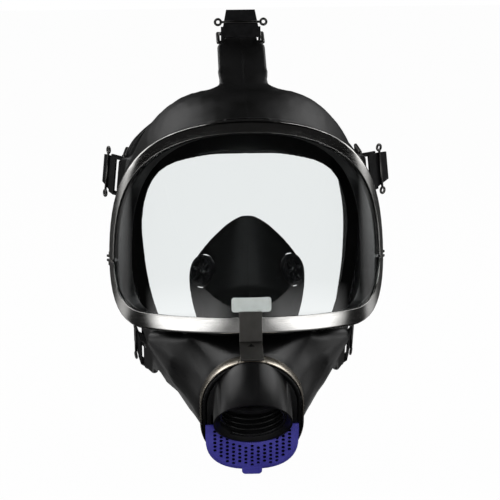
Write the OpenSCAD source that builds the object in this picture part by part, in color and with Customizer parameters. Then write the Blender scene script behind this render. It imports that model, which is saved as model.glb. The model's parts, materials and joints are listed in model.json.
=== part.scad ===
/* [Visor] */
// Bend radius of the visor at the front of the lens
visor_bend_r = 94; // [90:1:100]
// Half of the visor's width, measured round the bend
visor_half_span = 109; // [104:1:112]
// Distance from the face plane forward to the front of the lens
visor_front = 98; // [95:1:102]
// Height of the frame's top above the face centre
visor_top = 67.5; // [64:0.5:74]
// Depth of the frame's bottom below the face centre
visor_bottom = 63.6; // [62:0.2:66]
// Radius of the visor's lower corners
visor_corner_r = 40; // [34:1:46]
// Thickness of the lens
lens_t = 2.5; // [2:0.1:3.2]

/* [Clamp frame] */
// Thickness of the frame's steel sheet
frame_t = 0.9; // [0.6:0.1:1.2]
// Width of the frame's front leg along the top and sides
frame_front_w = 7.5; // [7:0.5:9]
// Width of the frame's front leg along the bottom
frame_low_w = 10.5; // [9:0.5:11.5]
// Depth of the frame's channel
frame_depth = 8.4; // [7.8:0.2:9.4]
// Width of the frame's rear leg
frame_rear_w = 4; // [3:0.5:5]
// Gap where the upper and lower halves meet
frame_gap = 1.2; // [0.8:0.1:2]
// Diameter of the frame screws
frame_screw_d = 3; // [2.5:0.5:3.5]

/* [Rubber] */
// Wall of the face blank
wall_t = 2.4; // [1.8:0.1:3]
// Thickness of the face seal's lip
lip_t = 1.8; // [1.4:0.1:2.4]
// Wall of the inner mask
cup_t = 2; // [1.6:0.1:2.4]
// Width of the forehead tongue
tongue_w = 30; // [26:1:34]
// Thickness of the forehead tongue
tongue_t = 3.2; // [2.6:0.2:4]

/* [Connector] */
// Distance from the face plane forward to the middle of the flange
flange_out = 107.5; // [106:0.5:110]
// Depth of the middle of the flange below the face centre
flange_drop = 111.4; // [110:0.2:113]
// Tilt of the flange below level, in degrees
flange_tilt = 20; // [18:0.5:22]
// Outside diameter of the connector tube
connector_d = 48; // [46:0.5:49]
// Major diameter of the round thread
thread_d = 40.3; // [39:0.1:41]
// Depth of the threaded bore
thread_depth = 17; // [15:0.5:18]
// Length of the tube in front of the flange, on its own axis
connector_out = 15.5; // [14:0.5:18]
// Tilt of the tube against the flange, in degrees
connector_tilt = 30; // [28:0.5:32]

/* [Housing] */
// How far the clamped collar stands out past the tube
collar_margin = 3.5; // [3:0.25:4]
// Straight length of the housing's oval
oval_straight = 11; // [9:0.5:13]
// Length of the clamped collar
collar_l = 10; // [9:0.5:11]
// Depth of the housing behind the flange
housing_depth = 22; // [21:0.5:24]
// Wall of the housing
housing_wall = 2.4; // [2:0.1:2.8]

/* [Clamp band] */
// Width of the band
band_w = 8; // [7:0.5:8.5]
// Thickness of the band
band_t = 0.8; // [0.6:0.1:1.2]
// Width of the bracket
bracket_w = 14; // [12:0.5:18]
// Thickness of the bracket
bracket_t = 1.5; // [1:0.1:2]

/* [Exhalation cover] */
// How far the cover stands out past the collar
cover_over = 1; // [0.5:0.25:1.5]
// How far the cover stands in front of the flange
cover_rise = 4.5; // [4:0.5:7]
// Wall of the cover
cover_t = 1.6; // [1.2:0.1:2]
// Diameter of the cover's holes
hole_d = 1.9; // [1.6:0.1:2.1]
// Spacing of the columns of holes
hole_pitch = 3.8; // [3.6:0.1:4.4]
// Spacing of the holes in a column
hole_step = 2.7; // [2.6:0.1:3.2]

/* [Buckles] */
// Width of the rubber lug between the lever's ears
lug_w = 22; // [20:0.5:24]
// Diameter of the bail's wire
bail_d = 2.4; // [2:0.1:2.8]
// Length of the bail, bar to bar
bail_l = 16; // [15:0.5:18]
// Length of the lever plate
lever_l = 18; // [16:0.5:20]
// Thickness of the lever plate
lever_t = 1.2; // [1:0.1:1.5]

/* [Harness] */
// Width of the straps
strap_w = 19; // [16:0.5:20]
// Thickness of the straps
strap_t = 2; // [1.6:0.1:2.4]

/* [Hidden] */
$fn = 48;

// Clearances between pieces
fit = 0.25;
pin_fit = 0.05;

// Visor outline: widest line, upper arch and lower corners
seam_z = visor_corner_r - visor_bottom;
visor_axis_y = visor_bend_r - visor_front;
arch_h = visor_top - seam_z;
corner_s = visor_half_span - visor_corner_r;
arch_power = 2 / 2.1;
corner_power = 2 / 2.25;

// Frame channel, measured in from the outline and out from the lens front
leg_front = fit + frame_t;
leg_back = leg_front - frame_depth;
bend_r = 2;
ear_l = 7.5;
ear_w = 6;
ear_in = 1;
seam_ear_t = 1.5;
ear_stack = frame_gap / 2 + seam_ear_t;
nut_h = 2.4;
screw_head_d = 5.4;
lens_edge = frame_t + 3.4;
groove_w = lens_edge - 0.2;
bead_fit = 0.5;
ledge_w = 8.6;
collar_rise = 0.8;

// Rear edge of the face blank and inner edge of its seal, top to chin on one side
rear_keys = [[0, -28, 83.5], [36, -21, 79.5], [62, -6, 57], [75, 6, 24], [76, 8, -18],
    [70.5, 5, -57], [60, -4, -95], [44, -12, -118], [0, -19, -124]];
seal_keys = [[0, -42, 42], [30, -40, 40], [54, -31, 30], [64, -22, 5], [63, -17, -27],
    [57, -12.5, -57], [46, -12, -81], [27, -18, -99], [0, -21, -104]];

// Snout of the face blank
snout_knots = [[34, -82.5, -70.4], [58, -52, -74], [48, -24, -96], [28, -30, -114], [14, -70, -136]];
snout_round = 6;
throat_knots = [[40, -40, -50], [20, -75, -52], [20, -75, -80], [44, -38, -86]];
throat_round = 4;

// Housing ovals
connector_r = connector_d / 2;
collar_r = connector_r + collar_margin;
sleeve_r = collar_r + 0.2 + 3;
band_r = sleeve_r + 0.2;
rear_r = collar_r - 3.5;
rear_drop = 3;
connector_up = 9.5;
tube_floor = -8.5;
gasket_t = 2;
gasket_r = thread_d / 2 - 0.75;
gasket_back = connector_out - thread_depth - gasket_t - 0.1;
seat_back = gasket_back - 3.2;
inhale_r = gasket_r - 2.4;
passage_r = inhale_r - 2.5;
inhale_port_r = 11;
exhale_r = 9.3;
rear_half = oval_straight / 2 + rear_r - housing_wall;
inhale_port_p = rear_half - rear_drop - inhale_port_r - 1.1;
exhale_p = exhale_r + 0.3 - rear_half - rear_drop;
divider_t = 2;
disc_t = 0.8;

// Clamp band
band_low = band_r + band_t + oval_straight / 2;
band_gap = 2;
band_screw_d = 2.8;

// Exhalation cover
cover_top_p = -6.5;
cover_low = 15.6;
cover_drop = 22.9;
cover_power = 2.5;
cover_r = collar_r + cover_over;
cover_bevel = 2.5;

// Inner mask rings: [top y, top z], [side x, y, z], [bottom y, bottom z]
cup_rings = [
    [[-75.5, -71], [28, -70, -88], [-63, -130]],
    [[-77, -36], [28.5, -64, -50], [-54, -114]],
    [[-62, 6], [37, -46, -31], [-47, -90]]];
nose_taper = 0.42;
neck_r = rear_r + 0.2;
neck_front = -collar_l - 3;
neck_back = -housing_depth - 0.5;
valve_v = 1.62;
valve_angle = 72;
valve_r = 10;
seat_h = cup_t + 1.6;

// Buckles: place of the lug's bar, bar direction, strap direction, rest angle of the lever
buckle_top = [[0, 17, 109], [1, 0, 0], [0, 0.95, 0.31], 62];
buckle_temple = [[78, 12, 23], [0.1, 0.2, -1], [-0.1, 0.97, 0.2], 50];
left_temple_rest = 30;
buckle_cheek = [[63, 13, -94], [0, 0.65, -0.75], [0.1, 0.75, 0.65], 8];
eye_r = bail_d / 2 + 2.2;
bail_r = bail_d / 2;
ear_t = 1.4;
ear_x = lug_w / 2 + 0.4;
ear_fit = 0.6;
bail_x = ear_x + ear_t + 0.5 + bail_r;
ear_pocket = bail_d + ear_t + 1;
lever_z = eye_r + 0.3;
lever_start = 2.5;
wire_r = 0.8;
wire_ring_r = 1.9;

// Harness paths behind each bail, to the plate at the back of the head
plate_at = [0, 152, 54];
head_centre = [0, 55, 10];
path_top = [[0, 60, 119], [0, 92, 111], [0, 122, 90], plate_at + [0, -10, 26], plate_at + [0, -1, 8]];
path_temple = [[74, 52, 31], [68, 86, 37], [52, 119, 46], plate_at + [26, -8, 2], plate_at + [6, 0, 1]];
path_cheek = [[68, 42, -63], [75, 66, -32], [77, 92, 2], [68, 116, 32], plate_at + [38, -14, -8],
    plate_at + [16, -3, -5], plate_at + [4, 0, -3]];
plate_arms = [[-24, 2], [24, 2], [-14, -12], [14, -12], [0, 18]];
plate_arm_r = 11;
plate_t = 3;

function lerp(a, b, t) = a + (b - a) * t;
function unit(v) = v / norm(v);
function reversed(list) = [for (i = [len(list) - 1 : -1 : 0]) list[i]];

// A turn u runs 0 to 2: 0 at the top, 1 at the bottom, the +X side first
function turn(u) = u - 2 * floor(u / 2);
function side(u) = turn(u) > 1 ? -1 : 1;
function fold(u) = turn(u) > 1 ? 2 - turn(u) : turn(u);

function outline_half(f) =
    f <= 0.5
        ? [visor_half_span * pow(sin(f * 180), arch_power),
           seam_z + arch_h * pow(max(0, cos(f * 180)), arch_power)]
        : f <= 0.75
            ? [corner_s + visor_corner_r * pow(max(0, cos((f - 0.5) * 360)), corner_power),
               seam_z - visor_corner_r * pow(sin((f - 0.5) * 360), corner_power)]
            : [corner_s * (1 - f) * 4, -visor_bottom];
function outline(u) = let (p = outline_half(fold(u))) [side(u) * p[0], p[1]];
function outline_normal(u) =
    let (t = unit(outline(u + 0.004) - outline(u - 0.004))) [-t[1], t[0]];

// A point of the flat outline, set in by o and bent round the visor's axis at radius r
function bend(p, r) =
    let (a = p[0] / visor_bend_r * 180 / PI) [r * sin(a), visor_axis_y - r * cos(a), p[1]];
function rim(u, o, dr) = bend(outline(u) - o * outline_normal(u), visor_bend_r + dr);

// Smooth closed ring through points given for one side
function key(keys, i) =
    i < 0 ? [-keys[-i][0], keys[-i][1], keys[-i][2]]
    : i >= len(keys) ? let (k = keys[2 * len(keys) - 2 - i]) [-k[0], k[1], k[2]]
    : keys[i];
function spline(p0, p1, p2, p3, t) =
    0.5 * (2 * p1 + (p2 - p0) * t + (2 * p0 - 5 * p1 + 4 * p2 - p3) * t * t
        + (3 * p1 - p0 - 3 * p2 + p3) * t * t * t);
function ring(keys, u) =
    let (f = fold(u) * (len(keys) - 1), i = min(floor(f), len(keys) - 2),
        p = spline(key(keys, i - 1), key(keys, i), key(keys, i + 1), key(keys, i + 2), f - i))
    [side(u) * p[0], p[1], p[2]];

// Skin over a row of sections; each section is a chain out and the same chain back
module skin(sections, loop = false) {
    n = len(sections);
    m = len(sections[0]);
    last = (n - 1) * m;
    sides = [for (i = [0 : loop ? n - 1 : n - 2], j = [0 : m - 1])
        let (a = i * m + j, b = i * m + (j + 1) % m, k = ((i + 1) % n) * m)
        each [[a, b, k + (j + 1) % m], [a, k + (j + 1) % m, k + j]]];
    caps = loop ? [] : [for (j = [0 : m / 2 - 2])
        each [[j, m - 2 - j, j + 1], [j, m - 1 - j, m - 2 - j],
              [last + j, last + j + 1, last + m - 2 - j], [last + j, last + m - 2 - j, last + m - 1 - j]]];
    polyhedron(points = [for (s = sections) each s], faces = concat(sides, caps), convexity = 12);
}

// Places in the flange's own frame: x across, p up the flange, q out of it
function flange_point(x, p, q) =
    let (a = 90 + flange_tilt)
    [x, -flange_out + p * cos(a) - q * sin(a), -flange_drop + p * sin(a) + q * cos(a)];
module at_flange() {
    translate([0, -flange_out, -flange_drop]) rotate([90 + flange_tilt, 0, 0]) children();
}
module round_tube() {
    translate([0, connector_up, 0]) rotate([connector_tilt, 0, 0]) children();
}
module at_tube() {
    at_flange() round_tube() children();
}
module oval(r) {
    for (s = [-1, 1]) translate([0, s * oval_straight / 2]) circle(r);
    square([2 * r, oval_straight], center = true);
}

// Clear lens, bent round a vertical axis
function lens_floor(s) =
    abs(s) <= corner_s
        ? lens_edge - visor_bottom
        : let (r = visor_corner_r - lens_edge, t = min(1, (abs(s) - corner_s) / r))
            seam_z - r * pow(1 - pow(t, 2 / corner_power), corner_power / 2);
module visor_lens() {
    columns = 44;
    end_u = 0.496;
    color([0.85, 0.92, 0.95, 0.35])
        skin([for (i = [0 : columns])
            let (u = lerp(-end_u, end_u, i / columns), p = outline(u) - lens_edge * outline_normal(u),
                low = [p[0], lens_floor(p[0])], back = visor_bend_r - lens_t)
            [bend(p, visor_bend_r), bend(low, visor_bend_r), bend(low, back), bend(p, back)]]);
}

// Steel clamp frame: one folded channel, wider along the bottom
function leg_w(u) =
    let (t = min(1, max(0, (fold(u) - 0.5) * 4))) lerp(frame_front_w, frame_low_w, t * t * (3 - 2 * t));
function frame_section(u) =
    let (w = leg_w(u), c = bend_r * (1 - sqrt(0.5)), ci = bend_r - (bend_r - frame_t) * sqrt(0.5),
        outer = [[w, leg_front], [bend_r, leg_front], [c, leg_front - c], [0, leg_front - bend_r],
            [0, leg_back], [frame_rear_w, leg_back]],
        inner = [[w, fit], [bend_r, fit], [ci, leg_front - ci], [frame_t, leg_front - bend_r],
            [frame_t, leg_back + frame_t], [frame_rear_w, leg_back + frame_t]])
    [for (p = concat(outer, reversed(inner))) rim(u, p[0], p[1])];
module frame_half(from_u, to_u) {
    steps = 40;
    gap_u = frame_gap / 2 / (2 * PI * visor_corner_r);
    skin([for (i = [0 : steps]) frame_section(lerp(from_u + gap_u, to_u - gap_u, i / steps))]);
}
// Side seam: x runs back along the visor, y in towards its axis, z up
module at_seam(s) {
    mirror([s < 0 ? 1 : 0, 0, 0])
        translate(rim(0.5, 0, 0))
            rotate([0, 0, visor_half_span / visor_bend_r * 180 / PI]) children();
}
module frame_ears(up) {
    for (s = [-1, 1]) at_seam(s) mirror([0, 0, up > 0 ? 0 : 1]) difference() {
        translate([-frame_t / 2, ear_in, frame_gap / 2]) cube([ear_l + frame_t / 2, ear_w, seam_ear_t]);
        translate([ear_l / 2 + 0.5, ear_in + ear_w / 2, 0]) cylinder(d = frame_screw_d + 0.3, h = 20, center = true);
    }
}
module upper_clamp_frame() {
    color([0.62, 0.63, 0.64]) union() {
        frame_half(-0.5, 0.5);
        frame_ears(1);
    }
}
module lower_clamp_frame() {
    color([0.62, 0.63, 0.64]) union() {
        frame_half(0.5, 1.5);
        frame_ears(-1);
    }
}
module at_frame_screw(s) {
    at_seam(s) translate([ear_l / 2 + 0.5, ear_in + ear_w / 2, 0]) children();
}
module frame_screws() {
    color([0.7, 0.7, 0.72]) for (s = [-1, 1]) at_frame_screw(s) {
        translate([0, 0, -ear_stack - nut_h - 0.6]) cylinder(d = frame_screw_d, h = 2 * ear_stack + nut_h + 0.7);
        translate([0, 0, ear_stack + 0.05]) difference() {
            cylinder(d = screw_head_d, h = 2);
            translate([0, 0, 2]) cube([screw_head_d + 1, 0.8, 1.6], center = true);
        }
    }
}
module frame_nuts() {
    color([0.7, 0.7, 0.72]) for (s = [-1, 1]) at_frame_screw(s)
        translate([0, 0, -ear_stack - nut_h - 0.05]) difference() {
            cylinder(d = screw_head_d + 0.6, h = nut_h, $fn = 6);
            translate([0, 0, -1]) cylinder(d = frame_screw_d + 2 * pin_fit, h = nut_h + 2);
        }
}

// Rubber face blank: rim bead, wall, rear edge and seal lip in one section round the face
function blank_section(u) =
    let (edge = ring(rear_keys, u), lip = ring(seal_keys, u), root = rim(u, 1, leg_back - 7),
        out = unit([root[0], 0, root[2] - seam_z]),
        front = lerp(root, edge, 0.35) + 1.5 * out,
        ridge = lerp(root, edge, 0.72) + 2.5 * out,
        bead = frame_t + bead_fit, bead_front = fit - bead_fit, bead_back = leg_back + frame_t + bead_fit,
        neck = frame_rear_w + bead_fit, ledge = -lens_t - 0.2)
    [rim(u, bead, bead_front), rim(u, bead, bead_back), rim(u, neck, bead_back), rim(u, neck, leg_back - 0.25),
     rim(u, -collar_rise, leg_back - 0.3), rim(u, -collar_rise, leg_back - 4), root, front, ridge, edge,
     lip, lip + lip_t * unit(front - lerp(edge, lip, 0.5)),
     edge + 4 * unit(ridge - edge) + 2.6 * unit(lip - edge),
     ridge - wall_t * out, front - wall_t * out,
     rim(u, ledge_w, leg_back - 5), rim(u, ledge_w, ledge), rim(u, groove_w, ledge), rim(u, groove_w, bead_front)];
module knots(list, r) {
    for (k = list, s = [-1, 1]) translate([s * k[0], k[1], k[2]]) sphere(r, $fn = 20);
}
module snout(inset) {
    hull() {
        at_flange() translate([0, 0, -collar_l - 1 + inset / 4])
            linear_extrude(0.5) oval(sleeve_r + 0.6 - inset);
        knots(snout_knots, snout_round - inset);
    }
}
// A lug runs from its bar to a root on the wall, given from the bar
module lug(b, root) {
    hull() {
        at_buckle(b) rotate([0, 90, 0]) cylinder(r = eye_r, h = lug_w, center = true, $fn = 24);
        at_buckle([b[0] + root, b[1], b[2], 0]) cube([lug_w + 8, 2, 4], center = true);
    }
}
module tongue() {
    bars = [[[0, -46, 75], tongue_w + 14], [[0, -34, 81], tongue_w + 9], [[0, -28, 84], tongue_w + 3.5],
        [[0, -12, 93], tongue_w + 1], [[0, 4, 102], tongue_w + 1], [buckle_top[0] - [0, 7, 3.8], tongue_w + 1],
        [buckle_top[0], lug_w]];
    for (i = [0 : len(bars) - 2]) hull() for (j = [i, i + 1])
        translate(bars[j][0]) rotate([0, 90, 0])
            cylinder(r = j == len(bars) - 1 ? eye_r : tongue_t / 2, h = bars[j][1], center = true, $fn = 20);
}
module face_blank() {
    stations = 64;
    color([0.07, 0.07, 0.075]) difference() {
        union() {
            skin([for (i = [0 : stations - 1]) blank_section(2 * i / stations)], loop = true);
            snout(0);
            at_flange() translate([0, 0, -collar_l - 0.6]) linear_extrude(collar_l + 0.6) oval(sleeve_r, $fn = 64);
            tongue();
            for (s = [0, 1]) mirror([s, 0, 0]) {
                lug(buckle_temple, [-3, -17, 0]);
                lug(buckle_cheek, [-4.5, -25, 1]);
            }
        }
        snout(wall_t);
        hull() knots(throat_knots, throat_round);
        at_flange() translate([0, 0, -collar_l - 6]) linear_extrude(collar_l + 8) oval(collar_r + 0.2, $fn = 64);
        at_each_buckle() rotate([0, 90, 0]) {
            cylinder(r = bail_r + 0.3, h = lug_w + 2, center = true, $fn = 20);
            for (s = [0, 1]) mirror([0, 0, s]) translate([0, 0, ear_x - ear_fit])
                cylinder(r = eye_r + 1.4, h = ear_pocket + 2 * ear_fit, $fn = 24);
        }
    }
}

// Rubber inner mask: a neck on the housing that opens into a nose cup
function neck_point(a, r, q) =
    flange_point(r * sin(a), (cos(a) > 0 ? 1 : -1) * oval_straight / 2 - rear_drop + r * cos(a), q);
function cup_ring(i, a) =
    let (k = cup_rings[i], c = cos(a), end = c > 0 ? k[0] : k[2], taper = c > 0 ? nose_taper * c * i / 2 : 0)
    [k[1][0] * sin(a) * (1 - taper), lerp(k[1][1], end[0], abs(c)), lerp(k[1][2], end[1], abs(c))];
// Outer chain of one section: 0 is the neck's rear edge, then the rings
function cup_chain(i, a) = i == 0 ? neck_point(a, neck_r + cup_t, neck_back) : cup_ring(i - 1, a);
function cup_facing(i, a) =
    unit(cross(cup_chain(i + 1, a) - cup_chain(i, a),
        cup_chain(i, a + 3) + cup_chain(i + 1, a + 3) - cup_chain(i, a - 3) - cup_chain(i + 1, a - 3)));
function cup_inner(i, a) =
    let (before = cup_facing(i, a), after = i + 1 < len(cup_rings) ? cup_facing(i + 1, a) : before)
    cup_ring(i, a) + cup_t * (before + after) / (1 + before * after);
function cup_surface(v, a) = lerp(cup_ring(floor(v), a), cup_ring(floor(v) + 1, a), v - floor(v));
function cup_section(a) =
    let (last = len(cup_rings) - 1)
    concat([neck_point(a, neck_r + cup_t, neck_front), neck_point(a, neck_r + cup_t, neck_back)],
        [for (i = [0 : last]) cup_ring(i, a)],
        [for (i = [last : -1 : 0]) cup_inner(i, a)],
        [neck_point(a, neck_r, neck_back), neck_point(a, neck_r, neck_front)]);
module inner_mask() {
    stations = 48;
    color([0.08, 0.08, 0.085]) difference() {
        skin([for (i = [0 : stations - 1]) cup_section((i + 0.5) * 360 / stations)], loop = true);
        for (s = [-1, 1]) at_check_valve(s) cylinder(r = valve_r + 0.2, h = 12 * cup_t, center = true);
    }
}

// Check valves on the cup's cheeks: z points out of the cup
module at_check_valve(s) {
    p = cup_surface(valve_v, valve_angle);
    x = unit(cup_surface(valve_v, valve_angle + 4) - cup_surface(valve_v, valve_angle - 4));
    z = unit(cross(x, cup_surface(valve_v + 0.1, valve_angle) - cup_surface(valve_v - 0.1, valve_angle)));
    y = cross(z, x);
    mirror([s < 0 ? 1 : 0, 0, 0])
        multmatrix([for (i = [0 : 2]) [x[i], y[i], z[i], p[i]]]) children();
}
module spoked_seat(r, hole_r, h, spokes) {
    difference() {
        cylinder(r = r, h = h);
        difference() {
            translate([0, 0, -1]) cylinder(r = hole_r, h = h + 2);
            cylinder(r = 2.4, h = h);
            for (i = [0 : spokes - 1]) rotate([0, 0, i * 360 / spokes])
                translate([0, -0.8, h * 0.2]) cube([hole_r + 1, 1.6, h * 0.6]);
        }
    }
}
module check_valve_seat(s) {
    color([0.1, 0.1, 0.11]) at_check_valve(s)
        translate([0, 0, -cup_t - 0.8]) spoked_seat(valve_r, valve_r - 2, seat_h, 6);
}
module check_valve_disc(s) {
    color([0.16, 0.16, 0.17]) at_check_valve(s)
        translate([0, 0, -cup_t - 0.8 - 0.15 - disc_t]) cylinder(r = valve_r - 1.4, h = disc_t);
}

// Connector housing: clamped collar, rear body, threaded tube and two ports
module housing_body(inset) {
    at_flange() {
        translate([0, 0, -collar_l + inset]) linear_extrude(collar_l + (inset > 0 ? 1 : 0)) oval(collar_r - inset);
        translate([0, -rear_drop, -housing_depth + inset])
            linear_extrude(housing_depth - 1) oval(rear_r - inset);
    }
}
module connector_housing() {
    bore_floor = connector_out - thread_depth;
    color([0.09, 0.09, 0.1]) difference() {
        union() {
            difference() {
                housing_body(0);
                housing_body(housing_wall);
            }
            at_flange() translate([0, 0, -housing_wall]) linear_extrude(housing_wall) intersection() {
                oval(collar_r);
                translate([0, collar_r + oval_straight]) square(2 * (collar_r + oval_straight), center = true);
            }
            intersection() {
                at_tube() translate([0, 0, connector_out - 3 * connector_d])
                    cylinder(r = connector_r, h = 3 * connector_d);
                union() {
                    housing_body(0);
                    at_flange() linear_extrude(fit) oval(collar_r);
                    at_flange() translate([-connector_d, -connector_d, fit])
                        cube([2 * connector_d, 2 * connector_d, connector_d]);
                }
            }
        }
        at_tube() {
            translate([0, 0, bore_floor]) cylinder(d = thread_d, h = thread_depth + 1);
            translate([0, 0, gasket_back]) cylinder(r = gasket_r + 0.2, h = bore_floor - gasket_back + 0.01);
            translate([0, 0, seat_back]) cylinder(r = inhale_r + 0.2, h = gasket_back - seat_back + 0.01);
            translate([0, 0, tube_floor - 1]) cylinder(r = passage_r, h = seat_back - tube_floor + 1.01);
        }
        intersection() {
            at_tube() translate([0, 0, tube_floor - 2 * connector_d])
                cylinder(r = connector_r - divider_t, h = 2 * connector_d);
            housing_body(housing_wall);
        }
        at_flange() {
            translate([0, inhale_port_p, -housing_depth - 1]) cylinder(r = inhale_port_r, h = housing_wall + 2);
            translate([0, exhale_p, -housing_depth - 1]) cylinder(r = exhale_r + 0.2, h = housing_wall + 2);
        }
    }
}
module thread_gasket() {
    color([0.2, 0.2, 0.2]) at_tube() translate([0, 0, gasket_back + 0.05]) difference() {
        cylinder(r = gasket_r, h = gasket_t);
        translate([0, 0, -1]) cylinder(r = gasket_r - 3.6, h = gasket_t + 2);
    }
}
module inhalation_valve_seat() {
    color([0.12, 0.12, 0.13]) at_tube() translate([0, 0, seat_back + 0.05])
        spoked_seat(inhale_r, passage_r - 1.4, gasket_back - seat_back - 0.1, 6);
}
module inhalation_valve_disc() {
    color([0.75, 0.72, 0.62]) at_tube() translate([0, 0, seat_back - 0.1 - disc_t])
        cylinder(r = passage_r - 0.6, h = disc_t);
}
module exhalation_valve_seat() {
    color([0.12, 0.12, 0.13]) at_flange() translate([0, exhale_p, -housing_depth]) {
        translate([0, 0, -2.2]) difference() {
            cylinder(r = exhale_r + 2.1, h = 2.1);
            translate([0, 0, -1]) cylinder(r = exhale_r - 1.7, h = 5);
        }
        translate([0, 0, -0.2]) spoked_seat(exhale_r, exhale_r - 1.7, housing_wall + 0.5, 6);
    }
}
module exhalation_valve_disc() {
    color([0.75, 0.72, 0.62]) at_flange()
        translate([0, exhale_p, -housing_depth + housing_wall + 0.45]) cylinder(r = exhale_r - 0.3, h = disc_t);
}

// Oval clamp band with its screw under the chin
module clamp_band() {
    color([0.66, 0.67, 0.68]) at_flange() translate([0, 0, -band_w - 0.6]) difference() {
        union() {
            linear_extrude(band_w) difference() {
                oval(band_r + band_t);
                oval(band_r);
            }
            for (s = [-1, 1]) translate([s * (band_gap / 2 + 0.7), -band_low - 2.6, band_w / 2])
                cube([1.4, 6, band_w], center = true);
        }
        translate([0, -band_low, band_w / 2]) cube([band_gap, 14, band_w + 1], center = true);
        translate([0, -band_low - 2.8, band_w / 2]) rotate([0, 90, 0])
            cylinder(d = band_screw_d + 0.3, h = 20, center = true);
    }
}
module clamp_band_screw() {
    color([0.7, 0.7, 0.72]) at_flange() translate([0, -band_low - 2.8, -0.6 - band_w / 2]) rotate([0, 90, 0]) {
        cylinder(d = band_screw_d, h = 14, center = true);
        translate([0, 0, band_gap / 2 + 1.45]) cylinder(d = 2 * band_screw_d, h = 2.2);
    }
}

// Steel bracket from the lower frame half to the top of the band
module frame_bracket() {
    y0 = -visor_front - leg_front - 0.15;
    top_z = frame_low_w + 4 - visor_bottom;
    tip = flange_point(0, band_low + 0.15, -0.6);
    fold_z = tip[2] + (y0 - tip[1]) * tan(flange_tilt);
    lift = bracket_t / cos(flange_tilt) - bracket_t * tan(flange_tilt);
    leg_l = (y0 - tip[1]) / cos(flange_tilt);
    vent_r = 3;
    color([0.55, 0.56, 0.57]) difference() {
        rotate([90, 0, 90]) linear_extrude(bracket_w, center = true)
            polygon([[y0, top_z], [y0, fold_z], [tip[1], tip[2]],
                [tip[1] - bracket_t * sin(flange_tilt), tip[2] + bracket_t * cos(flange_tilt)],
                [y0 - bracket_t, fold_z + lift], [y0 - bracket_t, top_z]]);
        at_flange() translate([0, band_low, vent_r + 0.7 - leg_l]) rotate([-90, 0, 0])
            cylinder(r = vent_r, h = 4 * vent_r, center = true, $fn = 3);
    }
}

// Perforated cover under the tube, over the exhalation valve
module cover_oval(inset) {
    half = cover_r - inset;
    drop = cover_drop - inset;
    steps = 24;
    polygon(concat([[half, cover_top_p - inset], [-half, cover_top_p - inset]],
        [for (i = [0 : steps]) let (c = cos(180 + i * 180 / steps), d = sin(i * 180 / steps))
            [half * sign(c) * pow(abs(c), 2 / cover_power), -cover_low - drop * pow(abs(d), 2 / cover_power)]]));
}
module cover_form(inset, back) {
    hull() {
        translate([0, 0, back]) linear_extrude(1) cover_oval(inset);
        translate([0, 0, cover_rise - 0.5 - inset]) linear_extrude(0.5) cover_oval(cover_bevel + inset);
    }
}
// A hole's place is clear of the tube and of the cover's bevel
function hole_fits(x, p) =
    let (margin = cover_bevel + hole_d / 2 + 0.2, mouth_r = connector_r + 1.1 + hole_d / 2,
        tube_p = connector_up - cover_rise * tan(connector_tilt))
    pow(abs(x) / (cover_r - margin), cover_power)
        + pow(max(0, -p - cover_low) / (cover_drop - margin), cover_power) < 1
        && p < cover_top_p - margin && norm([x, (p - tube_p) * cos(connector_tilt)]) > mouth_r;
module exhalation_cover() {
    columns = floor(cover_r / hole_pitch);
    rows = ceil(2 * cover_r / hole_step);
    low_p = -cover_low - cover_drop;
    color([0.19, 0.17, 0.58]) at_flange() difference() {
        union() {
            difference() {
                cover_form(0, 0.3);
                difference() {
                    cover_form(cover_t, -1);
                    round_tube() cylinder(r = connector_r + 0.6 + cover_t, h = 4 * connector_d, center = true);
                }
            }
            translate([0, low_p + 3, 0.3]) cylinder(r = 5, h = 2.6);
        }
        round_tube() {
            translate([0, 0, connector_out + 0.3 - 2 * connector_d]) cylinder(r = connector_r + 0.6, h = 2 * connector_d);
            cylinder(r = connector_r - 0.7, h = 2 * connector_d);
        }
        for (i = [-columns : columns], j = [0 : rows]) {
            x = i * hole_pitch;
            p = low_p + cover_bevel + (j + (i % 2 == 0 ? 0.5 : 0)) * hole_step;
            if (hole_fits(x, p)) translate([x, p, 0]) cylinder(d = hole_d, h = 20, $fn = 24);
        }
    }
}

// Buckles: x along the bar in the lug, y along the strap, z away from the head
function buckle_axes(b) =
    let (x = unit(b[1]), y = unit(b[2] - x * (b[2] * x))) [x, y, cross(x, y)];
function buckle_point(b, v) = let (a = buckle_axes(b)) b[0] + v[0] * a[0] + v[1] * a[1] + v[2] * a[2];
function at_rest(b, angle) = [b[0], b[1], b[2], angle];
module at_buckle(b) {
    a = buckle_axes(b);
    multmatrix([for (i = [0 : 2]) [a[0][i], a[1][i], a[2][i], b[0][i]]]) children();
}
module at_each_buckle() {
    at_buckle(buckle_top) children();
    for (b = [buckle_temple, buckle_cheek], s = [0, 1]) mirror([s, 0, 0]) at_buckle(b) children();
}
module at_lever(b) {
    at_buckle(b) rotate([b[3], 0, 0]) children();
}
module buckle_bail(b) {
    color([0.3, 0.3, 0.31]) at_buckle(b) {
        for (y = [0, bail_l]) translate([0, y, 0]) rotate([0, 90, 0])
            cylinder(r = bail_r, h = 2 * bail_x, center = true);
        for (s = [-1, 1]) translate([s * bail_x, 0, 0]) {
            rotate([-90, 0, 0]) cylinder(r = bail_r, h = bail_l);
            for (y = [0, bail_l]) translate([0, y, 0]) sphere(bail_r);
        }
    }
}
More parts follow.
